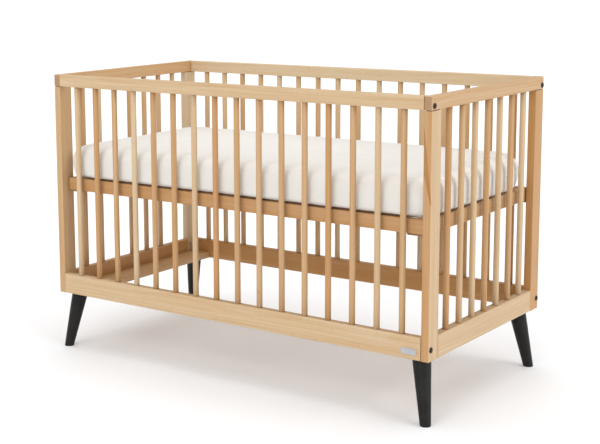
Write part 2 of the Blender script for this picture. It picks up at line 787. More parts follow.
class Repeater:
    """A geometry node tree with named inputs, whose result becomes a plain mesh."""

    def __init__(self, name: str) -> None:
        """Starts a tree with a Geometry input and output."""
        self.group = bpy.data.node_groups.new(name, "GeometryNodeTree")
        self.graph = Graph(self.group)
        self.group.interface.new_socket("Geometry", in_out="INPUT", socket_type="NodeSocketGeometry")
        self.group.interface.new_socket("Geometry", in_out="OUTPUT", socket_type="NodeSocketGeometry")
        self.source = self.graph.node("NodeGroupInput")
        self.result = self.graph.node("NodeGroupOutput")

    def input(self, name: str, kind: str) -> bpy.types.NodeSocket:
        """Adds a named input, such as a Float, and gives its socket inside the tree."""
        self.group.interface.new_socket(name, in_out="INPUT", socket_type=f"NodeSocket{kind}")
        return self.source.outputs[name]

    def finish(self, geometry: bpy.types.NodeSocket) -> None:
        """Ends the tree: the instances are made real and get their material."""
        real = self.graph.node("GeometryNodeRealizeInstances", {"Geometry": geometry}).outputs[0]
        material = self.input("Material", "Material")
        last = self.graph.node("GeometryNodeSetMaterial", {"Geometry": real, "Material": material})
        self.graph.feed(self.result.inputs[0], last.outputs[0])

    def make(self, name: str, start: bmesh.types.BMesh, **values) -> bpy.types.Object:
        """Runs the tree on a start mesh.

        Args:
            name: the new object's name.
            start: the tree's Geometry input.
            values: its named inputs, with underscores for spaces.

        Returns:
            The object, with a plain mesh.
        """
        mesh = bpy.data.meshes.new(name)
        start.to_mesh(mesh)
        start.free()
        piece = bpy.data.objects.new(name, mesh)
        bpy.context.scene.collection.objects.link(piece)
        self.run(piece, **values)
        return piece

    def run(self, piece: bpy.types.Object, **values) -> None:
        """Runs the tree on an object and keeps the result as its mesh."""
        modifier = piece.modifiers.new(self.group.name, "NODES")
        modifier.node_group = self.group
        sockets = {
            item.name: item.identifier
            for item in self.group.interface.items_tree
            if item.in_out == "INPUT" and item.name != "Geometry"
        }
        for key, value in values.items():
            modifier[sockets[key.replace("_", " ")]] = value
        bake_modifiers(piece)


def store_in_tree(graph: Graph, geometry, name: str, kind: str, domain: str, value) -> bpy.types.NodeSocket:
    """Stores a named attribute in a geometry tree and gives the geometry after it."""
    made = graph.node("GeometryNodeStoreNamedAttribute", data_type=kind, domain=domain)
    graph.feed(made.inputs["Geometry"], geometry)
    graph.feed(made.inputs["Name"], name)
    graph.feed(made.inputs["Value"], value)
    return made.outputs[0]


def swizzled_position(graph: Graph, order: Sequence[int]) -> bpy.types.NodeSocket:
    """A point's own coordinates in another order, such as along a stick first."""
    position = graph.node("GeometryNodeInputPosition").outputs[0]
    parts = graph.node("ShaderNodeSeparateXYZ", {0: position}).outputs
    return graph.node("ShaderNodeCombineXYZ", {i: parts[axis] for i, axis in enumerate(order)}).outputs[0]


def place_in_log(graph: Graph, instances, seed) -> bpy.types.NodeSocket:
    """Gives each instance its own place in the log."""
    spread = {"Min": (-5, 0.03, -0.09), "Max": (5, 0.10, 0.09), "Seed": seed}
    draw = graph.node("FunctionNodeRandomValue", data_type="FLOAT_VECTOR")
    for name, value in spread.items():
        socket = next(s for s in draw.inputs if s.name == name and s.enabled)
        graph.feed(socket, value)
    place = next(o for o in draw.outputs if o.enabled)
    return store_in_tree(graph, instances, "shift", "FLOAT_VECTOR", "INSTANCE", place)


def bar_tree() -> Repeater:
    """A round bar at each vertex of the start mesh, which stores each bar's tone."""
    tree = Repeater("round bars")
    graph = tree.graph
    radius, length = tree.input("Radius", "Float"), tree.input("Length", "Float")
    sides, seed = tree.input("Sides", "Int"), tree.input("Seed", "Int")
    sizes = {"Vertices": sides, "Radius": radius, "Depth": length, "Side Segments": 6}
    bar = graph.node("GeometryNodeMeshCylinder", sizes)
    whole = {"Geometry": bar.outputs["Mesh"], "Shade Smooth": False}
    flat = graph.node("GeometryNodeSetShadeSmooth", whole).outputs[0]
    round_part = {"Geometry": flat, "Selection": bar.outputs["Side"], "Shade Smooth": True}
    side = graph.node("GeometryNodeSetShadeSmooth", round_part).outputs[0]
    along_first = swizzled_position(graph, (Axis.Z, Axis.X, Axis.Y))
    stick = store_in_tree(graph, side, "grain", "FLOAT_VECTOR", "POINT", along_first)
    stick = store_in_tree(graph, stick, "end_grain", "FLOAT", "POINT", 0.0)
    spots = {"Points": tree.source.outputs["Geometry"], "Instance": stick}
    instances = graph.node("GeometryNodeInstanceOnPoints", spots).outputs[0]
    tree.finish(place_in_log(graph, instances, seed))
    return tree


def slat_tree() -> Repeater:
    """A row of flat slats with rounded long edges, laid across the base from one end."""
    tree = Repeater("slats")
    graph = tree.graph
    count, first = tree.input("Count", "Int"), tree.input("First", "Vector")
    step, width = tree.input("Step", "Vector"), tree.input("Width", "Float")
    thickness, length = tree.input("Thickness", "Float"), tree.input("Length", "Float")
    rounding, seed = tree.input("Rounding", "Float"), tree.input("Seed", "Int")
    outline = graph.node("GeometryNodeCurvePrimitiveQuadrilateral", {"Width": width, "Height": thickness})
    soft = graph.node("GeometryNodeFilletCurve", {"Curve": outline.outputs[0], "Radius": rounding})
    soft.mode = "POLY"
    graph.feed(next(s for s in soft.inputs if s.name == "Count"), 3)
    half = graph.math("MULTIPLY", length, 0.5)
    start = graph.node("ShaderNodeCombineXYZ", {"Y": graph.math("MULTIPLY", half, -1.0)}).outputs[0]
    end = graph.node("ShaderNodeCombineXYZ", {"Y": half}).outputs[0]
    line = graph.node("GeometryNodeCurvePrimitiveLine", {"Start": start, "End": end})
    swept = {"Curve": line.outputs[0], "Profile Curve": soft.outputs[0], "Fill Caps": True}
    slat = graph.node("GeometryNodeCurveToMesh", swept).outputs[0]
    slat = graph.node("GeometryNodeSetShadeSmooth", {"Geometry": slat, "Shade Smooth": False}).outputs[0]
    along_first = swizzled_position(graph, (Axis.Y, Axis.Z, Axis.X))
    stick = store_in_tree(graph, slat, "grain", "FLOAT_VECTOR", "POINT", along_first)
    stick = store_in_tree(graph, stick, "end_grain", "FLOAT", "POINT", 0.0)
    row = graph.node("GeometryNodeMeshLine", {"Count": count, "Start Location": first, "Offset": step})
    spots = {"Points": row.outputs[0], "Instance": stick}
    instances = graph.node("GeometryNodeInstanceOnPoints", spots).outputs[0]
    lightness = graph.node("FunctionNodeRandomValue", data_type="FLOAT")
    for name, value in {"Min": -0.5, "Max": 0.6, "Seed": seed}.items():
        graph.feed(next(s for s in lightness.inputs if s.name == name and s.enabled), value)
    shade = next(o for o in lightness.outputs if o.enabled)
    tone = graph.node("ShaderNodeCombineXYZ", {"X": shade}).outputs[0]
    instances = store_in_tree(graph, instances, "tone", "FLOAT_VECTOR", "INSTANCE", tone)
    tree.finish(place_in_log(graph, instances, seed))
    return tree


def hardware_tree() -> Repeater:
    """A copy of a piece of hardware at each vertex of the start mesh, turned as that stores."""
    tree = Repeater("hardware")
    graph = tree.graph
    item = tree.input("Item", "Object")
    shape = graph.node("GeometryNodeObjectInfo", {"Object": item}).outputs["Geometry"]
    turn = graph.node("GeometryNodeInputNamedAttribute", {"Name": "turn"}, data_type="FLOAT_VECTOR")
    as_turn = graph.node("FunctionNodeEulerToRotation", {0: turn.outputs["Attribute"]}).outputs[0]
    spots = {"Points": tree.source.outputs["Geometry"], "Instance": shape, "Rotation": as_turn}
    tree.finish(graph.node("GeometryNodeInstanceOnPoints", spots).outputs[0])
    return tree


def marked_points(
    places: Sequence[Vector], name: str, values: Sequence[Sequence[float]]
) -> bmesh.types.BMesh:
    """A start mesh of loose vertices that store one vector each."""
    bm = bmesh.new()
    layer = bm.verts.layers.float_vector.new(name)
    for place, value in zip(places, values, strict=True):
        bm.verts.new(place)[layer] = Vector(value)
    return bm


# --------------------------------------------------------------------------------------------------
# Sub-assemblies


@dataclass
class RoundBars:
    """A row of round bars let into the rails above and below it.

    Attributes:
        radius: a bar's radius.
        clearance: how much wider a bar's socket is, all round.
        sides: the facets of a bar.
    """

    radius: float
    clearance: float = FIT
    sides: int = 32

    def build(
        self, name: str, places: Sequence[Vector], length: float, tones: Sequence[Tone], seed: int,
        tree: Repeater, material: bpy.types.Material,
    ) -> bpy.types.Object:
        """Makes the bars, centred on their places.

        Args:
            name: the piece's name.
            places: each bar's middle.
            length: a bar's length with both seats.
            tones: each bar's tone.
            seed: what draws each bar's place in the log.
            tree: the bars' geometry tree.
            material: their finish.

        Returns:
            The piece.
        """
        start = marked_points(places, "tone", [(*tone.value, 0) for tone in tones])
        sizes = {"Radius": self.radius, "Length": length, "Sides": self.sides, "Seed": seed}
        return tree.make(name, start, Material=material, **sizes)

    def socket_tool(self, places: Sequence[Vector], length: float) -> bpy.types.Object:
        """A tool that cuts the bars' sockets."""
        bm = bmesh.new()
        for place in places:
            length_cut = length + 2 * self.clearance
            add_cylinder(bm, place, self.radius + self.clearance, length_cut, Axis.Z, self.sides)
        return new_piece("socket_tool", bm)


@dataclass
class EndPanel:
    """An end: two posts under a top rail that shows its sawn ends, a bottom rail, and seven bars.

    Attributes:
        side: left or right.
        joiner: what makes the sticks.
        tones: the bars' tones from front to back.
        post_tones: for the front and the back post, its tone and that of its front face.
        rail_tones: the tones of the top and the bottom rail.
        seed: what draws the bars' places in the log.
        shadow_gap: the fine dark joint over the posts.
        peg_radius: the radius of a peg hole.
        peg_reach: the length of the tool that bores it, half of which is in the post.
    """

    side: str
    joiner: Joiner
    tones: tuple[Tone, ...]
    post_tones: dict[str, tuple[Tone, Tone]]
    rail_tones: dict[str, Tone]
    seed: int
    shadow_gap: float = 0.0008
    peg_radius: float = 0.004
    peg_reach: float = 0.024

    def build(self, bar_repeater: Repeater) -> None:
        """Makes the panel's pieces."""
        places, length, radius = self.bar_places()
        bars = RoundBars(radius)
        tool = bars.socket_tool(places, length)
        self.build_rails(tool)
        self.build_posts()
        name = f"{self.side}_end_bars"
        made = bars.build(
            name, places, length, self.tones, self.seed, bar_repeater, self.joiner.finishes.beech
        )
        nodes = [f"end_bar_{self.side}_{i}" for i in range(1, len(self.tones) + 1)]
        self.joiner.deliver(made, FRAME_BODY, "beech", nodes)
        remove(tool)

    def bar_places(self) -> tuple[list[Vector], float, float]:
        """Each bar's middle, and the length and radius that the bars share."""
        boxes = [node_box(f"end_bar_{self.side}_{i}") for i in range(1, len(self.tones) + 1)]
        low, high = boxes[0]
        return [(a + b) / 2 for a, b in boxes], high.z - low.z, (high.x - low.x) / 2

    def build_rails(self, tool: bpy.types.Object) -> None:
        """Makes the top and bottom rails, with sockets for the bars."""
        for level in ("top", "bottom"):
            node = f"end_{level}_rail_{self.side}"
            low, high = node_box(node)
            round_ends = level == "top"
            name = f"{self.side}_end_{level}_rail"
            self.joiner.board(
                name, low, high, Axis.Y, self.rail_tones[level], FRAME_BODY, [node],
                round_ends=round_ends, tools=[tool],
            )

    def build_posts(self) -> None:
        """Makes the two posts, each with a peg hole at both heights of the base."""
        for row, tone in self.post_tones.items():
            node = f"post_{self.side}_{row}"
            low, high = node_box(node)
            tool = self.peg_tool(row, low, high)
            high.z -= self.shadow_gap
            name = f"{self.side}_{row}_post"
            self.joiner.board(
                name, low, high, Axis.Z, tone[0], FRAME_BODY, [node], tools=[tool], front=tone[1]
            )
            remove(tool)

    def peg_tool(self, row: str, low: Vector, high: Vector) -> bpy.types.Object:
        """A tool that bores the peg holes into the post's inner face."""
        bm = bmesh.new()
        inner = low.x if self.side == "right" else high.x
        base_low, base_high = node_box(f"base_rail_{row}")
        travel = -frame["joints"][0]["range_m"][0]
        middle = (base_low + base_high) / 2
        for height in (middle.z, middle.z - travel):
            centre = Vector((inner, middle.y, height))
            add_cylinder(bm, centre, self.peg_radius, self.peg_reach, Axis.X, 24)
        return new_piece("peg_tool", bm)


@dataclass
class BarredSide:
    """A long side: a top rail and a bottom rail between the end panels, and sixteen bars.

    Attributes:
        row: front or back.
        bar_margin: from the rail's end to the first bar's middle.
        shadow_gap: how far each rail stops short of the posts.
        tones: the bars' tones from left to right.
    """

    row: str
    joiner: Joiner
    tones: tuple[Tone, ...]
    rail_tones: dict[str, Tone]
    seed: int
    bar_margin: float = 0.0587
    shadow_gap: float = 0.0004

    def build(self, bar_repeater: Repeater) -> None:
        """Makes the side's pieces."""
        top_low, top_high = node_box(f"side_top_rail_{self.row}")
        ladder = f"side_bars_and_bottom_rail_{self.row}"
        bottom_low, bottom_high = node_box(ladder)
        bottom_high.z = node_box("end_bottom_rail_right")[1].z
        bar_low, bar_high = node_box("end_bar_right_1")
        length = bar_high.z - bar_low.z
        places = self.bar_places(top_low, top_high, (bar_low.z + bar_high.z) / 2)
        bars = RoundBars((bar_high.x - bar_low.x) / 2)
        tool = bars.socket_tool(places, length)
        for low, high in ((top_low, top_high), (bottom_low, bottom_high)):
            low.x += self.shadow_gap
            high.x -= self.shadow_gap
        name = f"{self.row}_top_rail"
        self.joiner.board(
            name, top_low, top_high, Axis.X, self.rail_tones["top"], FRAME_BODY,
            [f"side_top_rail_{self.row}"], tools=[tool],
        )
        name = f"{self.row}_bottom_rail"
        self.joiner.board(
            name, bottom_low, bottom_high, Axis.X, self.rail_tones["bottom"], FRAME_BODY,
            [ladder], tools=[tool],
        )
        name = f"{self.row}_bars"
        made = bars.build(
            name, places, length, self.tones, self.seed, bar_repeater, self.joiner.finishes.beech
        )
        self.joiner.deliver(made, FRAME_BODY, "beech", [])
        remove(tool)

    def bar_places(self, low: Vector, high: Vector, height: float) -> list[Vector]:
        """Each bar's middle, evenly spaced between the two margins."""
        first, last = low.x + self.bar_margin, high.x - self.bar_margin
        pitch = (last - first) / (len(self.tones) - 1)
        middle = (low.y + high.y) / 2
        return [Vector((first + i * pitch, middle, height)) for i in range(len(self.tones))]


@dataclass
class Legs:
    """Four tapered legs that lean out to the corners, and the boards that they screw into.

    Attributes:
        sides: the facets round a leg.
        rings: the loops down a leg.
        foot_round: the rounding of the foot's rim.
        level_error: how far off a level a CAD point may be and still count as on it.
        stud_reach: further than this from a leg's middle, a point is on the wood.
    """

    joiner: Joiner
    sides: int = 64
    rings: int = 12
    foot_round: float = 0.0015
    level_error: float = 0.0006
    stud_reach: float = 0.008

    def build(self) -> None:
        """Makes the boards and the legs."""
        for side in ENDS:
            node = f"leg_board_{side}"
            low, high = node_box(node)
            self.joiner.board(
                f"{side}_leg_board", low, high, Axis.Y, Tone.HONEY, FRAME_BODY, [node], radius=0.0015
            )
            for row in SIDES:
                self.build_leg(side, row)

    def build_leg(self, side: str, row: str) -> None:
        """Makes one leg from rings that shrink and lean as they go down."""
        node = f"leg_{side}_{row}"
        top, foot = self.leg_ends(node)
        bm = bmesh.new()
        loops = []
        for radius, height in self.profile(top[1], foot[1], top[0].z):
            share = (height - foot[0].z) / (top[0].z - foot[0].z)
            centre = foot[0].lerp(top[0], share)
            loops.append(self.ring(bm, centre, radius))
        for upper, lower in zip(loops, loops[1:]):
            for i in range(self.sides):
                j = (i + 1) % self.sides
                bm.faces.new((upper[i], upper[j], lower[j], lower[i]))
        bm.faces.new(loops[0])
        bm.faces.new(loops[-1])
        leg = new_piece(f"{side}_{row}_leg", bm, self.joiner.finishes.black_lacquer)
        smooth(leg)
        self.joiner.deliver(leg, FRAME_BODY, "black_wood", [node])

    def leg_ends(self, node: str) -> tuple[tuple[Vector, float], tuple[Vector, float]]:
        """The centre and radius of a leg's top and foot, measured on its CAD node."""
        verts = [vert.co for vert in frame["nodes"][node].data.vertices]
        foot_level = min(co.z for co in verts)
        rim_level = node_box("leg_board_left")[0].z
        ends = []
        for level in (rim_level, foot_level):
            on_level = [co for co in verts if abs(co.z - level) < self.level_error]
            rim = [co for co in on_level if self.wide(co, on_level)]
            low = Vector([min(co[i] for co in rim) for i in range(3)])
            high = Vector([max(co[i] for co in rim) for i in range(3)])
            ends.append(((low + high) / 2, (high.x - low.x) / 2))
        return ends[0], ends[1]

    def wide(self, point: Vector, on_level: Sequence[Vector]) -> bool:
        """Whether a point is on the wood's rim and not on the steel stud inside it."""
        middle = sum(on_level, Vector()) / len(on_level)
        return (point - middle).to_2d().length > self.stud_reach

    def profile(self, top_radius: float, foot_radius: float, top: float) -> list[tuple[float, float]]:
        """(radius, height) down the leg, with a softened rim at each end."""
        soft = self.foot_round
        taper = (top_radius - foot_radius) / top
        points = [(top_radius - 0.0006, top), (top_radius - 0.0001, top - 0.0004)]
        for i in range(1, self.rings):
            height = top - (top - soft) * i / self.rings
            points.append((foot_radius + taper * height, height))
        edge = foot_radius + taper * soft
        points += arc((edge - soft, soft), soft, 0, -90, 4)
        return points

    def ring(self, bm: bmesh.types.BMesh, centre: Vector, radius: float) -> list[bmesh.types.BMVert]:
        """A level ring of vertices."""
        turns = [2 * math.pi * i / self.sides for i in range(self.sides)]
        return [bm.verts.new(centre + radius * Vector((math.cos(t), math.sin(t), 0))) for t in turns]


@dataclass
class CornerBolts:
    """Eight black bolts with low domed heads and hexagon sockets, and their cross nuts.

    Attributes:
        head_radius: the head's radius.
        socket: the hexagon's width across its corners.
        socket_depth: how deep the hexagon goes.
    """

    joiner: Joiner
    head_radius: float = 0.0075
    head_height: float = 0.0035
    shank_radius: float = 0.003
    shank: float = 0.060
    socket: float = 0.0046
    socket_depth: float = 0.0022

    def build(self, tree: Repeater) -> None:
        """Makes one bolt, and copies it to the eight corners."""
        bolt = self.one_bolt()
        nodes = [
            f"corner_bolt_{side}_{row}_{level}"
            for side in ENDS for row in SIDES for level in ("top", "bottom")
        ]
        places, turns = [], []
        for node in nodes:
            low, high = node_box(node)
            sign = ENDS[node.split("_")[2]]
            outer = high.x if sign > 0 else low.x
            middle = (low + high) / 2
            places.append(Vector((outer - sign * self.head_height, middle.y, middle.z)))
            turns.append((0, sign * math.pi / 2, 0))
        start = marked_points(places, "turn", turns)
        made = tree.make("corner_bolts", start, Item=bolt, Material=self.joiner.finishes.black_steel)
        remove(bolt)
        self.joiner.deliver(made, FRAME_BODY, "black_steel", nodes)

    def one_bolt(self) -> bpy.types.Object:
        """A bolt whose head faces +Z, with the underside of its head at the origin."""
        rise = self.head_height
        rim = 0.0009
        dome = [
            (self.head_radius * math.sin(t), rim + (rise - rim) * math.cos(t))
            for t in (math.pi / 2 * i / 10 for i in range(11))
        ]
        under_head = [(self.head_radius - 0.0002, 0), (self.shank_radius, 0)]
        shank = [(self.shank_radius, -self.shank), (0, -self.shank)]
        bolt = new_piece("one_bolt", turned(dome + under_head + shank, 40))
        bm = bmesh.new()
        centre = Vector((0, 0, rise))
        add_cylinder(bm, centre, self.socket / 2 * 1.15, 2 * self.socket_depth, Axis.Z, 6)
        tool = new_piece("hex_tool", bm)
        cut(bolt, tool)
        remove(tool)
        smooth(bolt)
        return bolt


@dataclass
class MakersPlate:
    """A blank metal plate with soft corners, held by two small pins.

    Attributes:
        corner: the radius of its corners.
        pin_radius: a pin head's radius.
        pin_inset: from the plate's end to a pin's middle.
    """

    joiner: Joiner
    corner: float = 0.0016
    pin_radius: float = 0.0011
    pin_inset: float = 0.0028

    def build(self, tree: Repeater) -> None:
        """Makes the plate and its pins as one piece."""
        low, high = node_box("maker_plate")
        bm = rounded_box(low, high, Axis.Y, self.corner, 5)
        plate = new_piece("makers_plate", bm)
        edge = plate.modifiers.new("edge", "BEVEL")
        edge.width = 0.00022
        edge.segments = 2
        edge.limit_method = "ANGLE"
        edge.angle_limit = math.radians(50)
        bake_modifiers(plate)
        plate.data.materials.clear()
        plate.data.materials.append(self.joiner.finishes.bright_steel)
        smooth(plate)
        self.joiner.deliver(plate, FRAME_BODY, "bright_steel", ["maker_plate"])
        self.build_pins(tree, low, high)

    def build_pins(self, tree: Repeater, low: Vector, high: Vector) -> None:
        """Makes the two domed pins that hold the plate."""
        dome = [
            (self.pin_radius * math.sin(t), 0.0004 * math.cos(t))
            for t in (math.pi / 2 * i / 6 for i in range(7))
        ]
        pin = new_piece("one_pin", turned(dome + [(self.pin_radius, -0.0004), (0, -0.0004)], 24))
        smooth(pin)
        middle = (low.z + high.z) / 2
        places = [Vector((x, low.y, middle)) for x in (low.x + self.pin_inset, high.x - self.pin_inset)]
        start = marked_points(places, "turn", [(math.pi / 2, 0, 0)] * 2)
        made = tree.make("makers_plate_pins", start, Item=pin, Material=self.joiner.finishes.bright_steel)
        remove(pin)
        self.joiner.deliver(made, FRAME_BODY, "bright_steel", [])


@dataclass
class SlattedBase:
    """The mattress base: a frame of four rails with nine slats housed in it, on steel brackets.

    Attributes:
        rounding: the rounding of the slats' long edges.
        screw_radius: the radius of a slat screw's head.
        screw_inset: from a slat's end to its screw.
        flange: the thickness of the brackets' upright leg.
    """

    joiner: Joiner
    slats: int = 9
    rounding: float = 0.0022
    screw_radius: float = 0.0034
    screw_inset: float = 0.0045
    flange: float = 0.002

    def build(self, slat_repeater: Repeater, hardware: Repeater) -> None:
        """Makes the rails, slats, screws and brackets."""
        boxes = [node_box(f"slat_{i}") for i in range(1, self.slats + 1)]
        self.build_rails(boxes)
        self.build_slats(slat_repeater, boxes)
        self.build_screws(hardware, boxes)
        for side in ENDS:
            for row in SIDES:
                self.build_bracket(side, row)

    def build_rails(self, boxes: Sequence[tuple[Vector, Vector]]) -> None:
        """Makes the four rails; the long ones are housed for the slats' ends."""
        bm = bmesh.new()
        for low, high in boxes:
            grown = Vector.Fill(3, FIT)
            cube = bmesh.ops.create_cube(bm, size=1.0)["verts"]
            low, high = low - grown, high + grown + Vector((0, 0, 0.01))
            bmesh.ops.scale(bm, vec=high - low, verts=cube)
            bmesh.ops.translate(bm, vec=(low + high) / 2, verts=cube)
        tool = new_piece("housing_tool", bm)
        for row in SIDES:
            node = f"base_rail_{row}"
            low, high = node_box(node)
            tone = Tone.AMBER if row == "front" else Tone.HONEY
            self.joiner.board(
                f"{row}_base_rail", low, high, Axis.X, tone, BASE_BODY, [node], tools=[tool]
            )
        remove(tool)
        for side in ENDS:
            node = f"base_rail_{side}"
            low, high = node_box(node)
            self.joiner.board(f"{side}_base_rail", low, high, Axis.Y, Tone.HONEY, BASE_BODY, [node])

    def build_slats(self, tree: Repeater, boxes: Sequence[tuple[Vector, Vector]]) -> None:
        """Makes the slats in one row."""
        middles = [(low + high) / 2 for low, high in boxes]
        size = boxes[0][1] - boxes[0][0]
        sizes = {"Width": size.x, "Length": size.y, "Thickness": size.z, "Rounding": self.rounding}
        made = tree.make(
            "base_slats", bmesh.new(), Count=len(boxes), First=middles[0], Step=middles[1] - middles[0],
            Seed=5, Material=self.joiner.finishes.beech, **sizes,
        )
        smooth(made)
        self.joiner.deliver(made, BASE_BODY, "beech", [f"slat_{i}" for i in range(1, len(boxes) + 1)])

    def build_screws(self, tree: Repeater, boxes: Sequence[tuple[Vector, Vector]]) -> None:
        """Makes a sunk screw at each end of each slat, its cross turned its own way."""
        screw = self.one_screw()
        draw = random.Random(3)
        places, turns = [], []
        for low, high in boxes:
            for y in (low.y + self.screw_inset, high.y - self.screw_inset):
                places.append(Vector(((low.x + high.x) / 2, y, high.z + 0.0002)))
                turns.append((0, 0, draw.uniform(0, math.pi)))
        start = marked_points(places, "turn", turns)
        made = tree.make("slat_screws", start, Item=screw, Material=self.joiner.finishes.bright_steel)
        remove(screw)
        self.joiner.deliver(made, BASE_BODY, "bright_steel", [])

    def one_screw(self) -> bpy.types.Object:
        """A flat screw head with a cross recess, its top at the origin."""
        radius = self.screw_radius
        head = [(0, 0), (radius - 0.0002, 0), (radius, -0.0002)]
        profile = head + [(radius * 0.5, -0.0022), (0, -0.0022)]
        screw = new_piece("one_screw", turned(profile, 24))
        bm = bmesh.new()
        for size in ((0.0038, 0.0009, 0.002), (0.0009, 0.0038, 0.002)):
            cube = bmesh.ops.create_cube(bm, size=1.0)["verts"]
            bmesh.ops.scale(bm, vec=size, verts=cube)
        tool = new_piece("cross_tool", bm)
        for_one_body = tool.modifiers.new("one cross", "REMESH")
        for_one_body.mode = "SHARP"
        for_one_body.octree_depth = 5
        bake_modifiers(tool)
        cut(screw, tool)
        remove(tool)
        smooth(screw)
        return screw

    def build_bracket(self, side: str, row: str) -> None:
        """Makes a steel angle with soft corners under a rail's end."""
        node = f"base_bracket_{side}_{row}"
        low, high = node_box(node)
        rail_low, _ = node_box(f"base_rail_{row}")
        sign = ENDS[side]
        foot_top = rail_low.z - FIT
        outline = self.bracket_outline(low, high, foot_top, sign)
        bm = bmesh.new()
        near = [bm.verts.new((x, low.y, z)) for x, z in outline]
        face = bm.faces.new(near)
        pushed = bmesh.ops.extrude_face_region(bm, geom=[face])["geom"]
        verts = [item for item in pushed if isinstance(item, bmesh.types.BMVert)]
        bmesh.ops.translate(bm, vec=(0, high.y - low.y, 0), verts=verts)
        bracket = new_piece(f"{side}_{row}_base_bracket", bm)
        edge = bracket.modifiers.new("edge", "BEVEL")
        edge.width = 0.0004
        edge.segments = 2
        edge.limit_method = "ANGLE"
        edge.angle_limit = math.radians(50)
        bake_modifiers(bracket)
        bracket.data.materials.clear()
        bracket.data.materials.append(self.joiner.finishes.brown_steel)
        smooth(bracket)
        self.joiner.deliver(bracket, BASE_BODY, "brown_steel", [node])

    def bracket_outline(
        self, low: Vector, high: Vector, foot_top: float, sign: int
    ) -> list[tuple[float, float]]:
        """The angle's side view: a foot with a rounded toe, and the flange up its end."""
        heel, toe = (high.x, low.x) if sign > 0 else (low.x, high.x)
        thick = foot_top - low.z
        centre = (toe + sign * thick, foot_top)
        start, end = (180, 270) if sign > 0 else (0, -90)
        curve = arc(centre, thick, start, end, 6)
        inner = heel - sign * self.flange
        return curve + [(heel, low.z), (heel, high.z), (inner, high.z), (inner, foot_top)]


